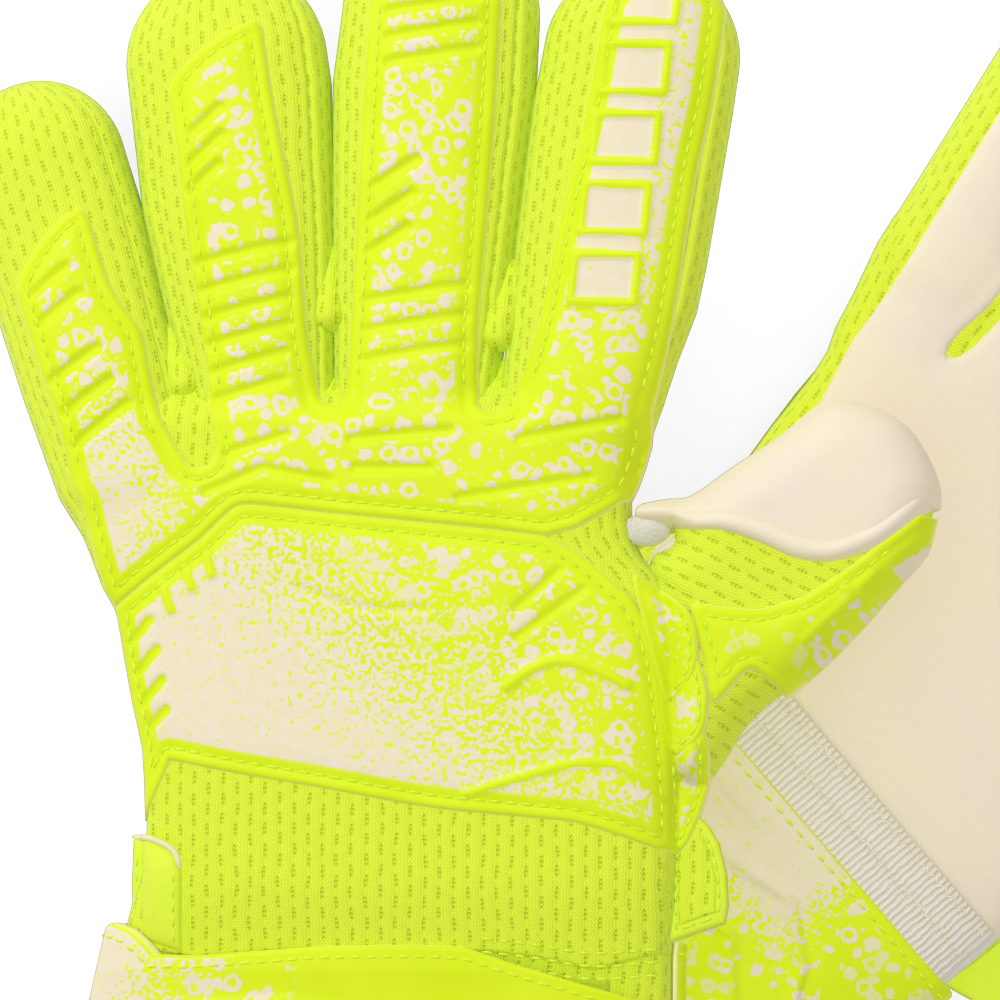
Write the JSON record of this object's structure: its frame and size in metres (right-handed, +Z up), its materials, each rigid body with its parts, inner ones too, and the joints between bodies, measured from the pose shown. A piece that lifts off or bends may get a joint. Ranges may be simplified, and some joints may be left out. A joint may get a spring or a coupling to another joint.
{
  "type": "goalkeeper gloves",
  "caption": "pair of adult goalkeeper gloves with roll finger latex palms, printed back panels, mesh stalls, bellows at the thumb and wrap wrist straps, laid one across the other",
  "frame": {"origin": "centre of the bottom of the bounding box, on the surface the pair lies on", "axes": "+X across the pair, from the fingertips of the left glove side to the right glove side, the longest extent; +Y toward the left glove fingertips; +Z up, the shortest extent"},
  "size_m": [0.3294, 0.269, 0.0663],
  "materials": {
    "palm_latex": "matte cream latex foam with a fine open grain",
    "printed_latex": "matte neon yellow latex printed with cream speckle and worm loops, embossed",
    "air_mesh": "neon yellow knitted air mesh with staggered oval holes",
    "rib_elastic": "pale grey ribbed elastic with zigzag stitching",
    "lining_foam": "soft grey towelling lining on foam",
    "lining_fabric": "neon knitted cuff lining",
    "neon_tab": "smooth neon latex, folded and stitched",
    "strap_latex": "embossed neon strap with cream speckle print",
    "loop_pile": "brushed loop pile",
    "hook_tape": "moulded hook tape"
  },
  "bodies": {
    "right_hand": {"right_palm": "palm_latex", "right_knuckle_panel": "printed_latex", "right_lower_back_panel": "printed_latex", "right_backhand_foam": "lining_foam", "right_hand_side_mesh": "air_mesh", "right_wrist_mesh_panel": "air_mesh", "right_wrist_elastic": "rib_elastic", "right_cuff_sleeve": "lining_fabric", "right_pull_tabs": "neon_tab", "right_thumb_bellows": "printed_latex", "right_strap_base": "strap_latex", "right_loop_patch": "loop_pile"},
    "right_strap": {"right_hook_patch": "hook_tape", "right_strap_flap": "strap_latex"},
    "right_little": {"right_little_back": "printed_latex", "right_little_mesh_stall": "air_mesh", "right_little_palm_strip": "palm_latex"},
    "right_ring": {"right_ring_back": "printed_latex", "right_ring_mesh_stall": "air_mesh", "right_ring_palm_strip": "palm_latex"},
    "right_middle": {"right_middle_back": "printed_latex", "right_middle_mesh_stall": "air_mesh", "right_middle_palm_strip": "palm_latex"},
    "right_index": {"right_index_back": "printed_latex", "right_index_mesh_stall": "air_mesh", "right_index_palm_strip": "palm_latex"},
    "right_thumb": {"right_thumb_palm_pad": "palm_latex", "right_thumb_back": "printed_latex", "right_thumb_mesh": "air_mesh", "right_thumb_roll": "palm_latex"},
    "left_hand": {"left_palm": "palm_latex", "left_knuckle_panel": "printed_latex", "left_lower_back_panel": "printed_latex", "left_backhand_foam": "lining_foam", "left_hand_side_mesh": "air_mesh", "left_wrist_mesh_panel": "air_mesh", "left_wrist_elastic": "rib_elastic", "left_cuff_sleeve": "lining_fabric", "left_pull_tabs": "neon_tab", "left_thumb_bellows": "printed_latex", "left_strap_base": "strap_latex", "left_loop_patch": "loop_pile"},
    "left_strap": {"left_hook_patch": "hook_tape", "left_strap_flap": "strap_latex"},
    "left_little": {"left_little_back": "printed_latex", "left_little_mesh_stall": "air_mesh", "left_little_palm_strip": "palm_latex"},
    "left_ring": {"left_ring_back": "printed_latex", "left_ring_mesh_stall": "air_mesh", "left_ring_palm_strip": "palm_latex"},
    "left_middle": {"left_middle_back": "printed_latex", "left_middle_mesh_stall": "air_mesh", "left_middle_palm_strip": "palm_latex"},
    "left_index": {"left_index_back": "printed_latex", "left_index_mesh_stall": "air_mesh", "left_index_palm_strip": "palm_latex"},
    "left_thumb": {"left_thumb_palm_pad": "palm_latex", "left_thumb_back": "printed_latex", "left_thumb_mesh": "air_mesh", "left_thumb_roll": "palm_latex"}
  },
  "joints": [
    {"name": "left_glove_lift", "type": "slide", "parent": "right_hand", "child": "left_hand", "axis": [0, 0, 1], "range_m": [0, 0.15]},
    {"name": "right_little_flex", "type": "hinge", "parent": "right_hand", "child": "right_little", "pos_m": [0.02206, 0.06615, 0.018], "axis": [0.8374, -0.5467, 0], "range_deg": [-5, 45], "stiffness_Nm_per_rad": 0.1},
    {"name": "right_ring_flex", "type": "hinge", "parent": "right_hand", "child": "right_ring", "pos_m": [0.04908, 0.05497, 0.018], "axis": [0.7422, -0.6702, 0], "range_deg": [-5, 45], "stiffness_Nm_per_rad": 0.1},
    {"name": "right_middle_flex", "type": "hinge", "parent": "right_hand", "child": "right_middle", "pos_m": [0.06832, 0.03261, 0.018], "axis": [0.6252, -0.7805, 0], "range_deg": [-5, 45], "stiffness_Nm_per_rad": 0.1},
    {"name": "right_index_flex", "type": "hinge", "parent": "right_hand", "child": "right_index", "pos_m": [0.08932, 0.00819, 0.018], "axis": [0.5476, -0.8367, 0], "range_deg": [-5, 45], "stiffness_Nm_per_rad": 0.1},
    {"name": "right_thumb_swing", "type": "hinge", "parent": "right_hand", "child": "right_thumb", "pos_m": [0.0827, -0.02045, 0.012], "axis": [0, 0, 1], "range_deg": [-5, 20], "stiffness_Nm_per_rad": 0.1},
    {"name": "right_strap_open", "type": "hinge", "parent": "right_hand", "child": "right_strap", "pos_m": [-0.06794, -0.00941, 0.0036], "axis": [0.7581, 0.6521, 0], "range_deg": [0, 110]},
    {"name": "left_little_flex", "type": "hinge", "parent": "left_hand", "child": "left_little", "pos_m": [-0.13116, 0.02606, 0.01884], "axis": [-0.9585, -0.276, -0.0719], "range_deg": [-5, 45], "stiffness_Nm_per_rad": 0.1},
    {"name": "left_ring_flex", "type": "hinge", "parent": "left_hand", "child": "left_ring", "pos_m": [-0.10503, 0.03915, 0.02007], "axis": [-0.9877, -0.1245, -0.095], "range_deg": [-5, 45], "stiffness_Nm_per_rad": 0.1},
    {"name": "left_middle_flex", "type": "hinge", "parent": "left_hand", "child": "left_middle", "pos_m": [-0.07572, 0.03915, 0.02337], "axis": [-0.9926, 0.0347, -0.1164], "range_deg": [-5, 45], "stiffness_Nm_per_rad": 0.1},
    {"name": "left_index_flex", "type": "hinge", "parent": "left_hand", "child": "left_index", "pos_m": [-0.04372, 0.03915, 0.02698], "axis": [-0.9833, 0.1293, -0.1277], "range_deg": [-5, 45], "stiffness_Nm_per_rad": 0.1},
    {"name": "left_thumb_swing", "type": "hinge", "parent": "left_hand", "child": "left_thumb", "pos_m": [-0.02744, 0.01642, 0.03788], "axis": [-0.1111, 0.129, 0.9854], "range_deg": [-5, 20], "stiffness_Nm_per_rad": 0.1},
    {"name": "left_strap_open", "type": "hinge", "parent": "left_hand", "child": "left_strap", "pos_m": [-0.13584, -0.0886, 0.04793], "axis": [-0.0144, -0.9916, 0.1282], "range_deg": [0, 110]}
  ]
}
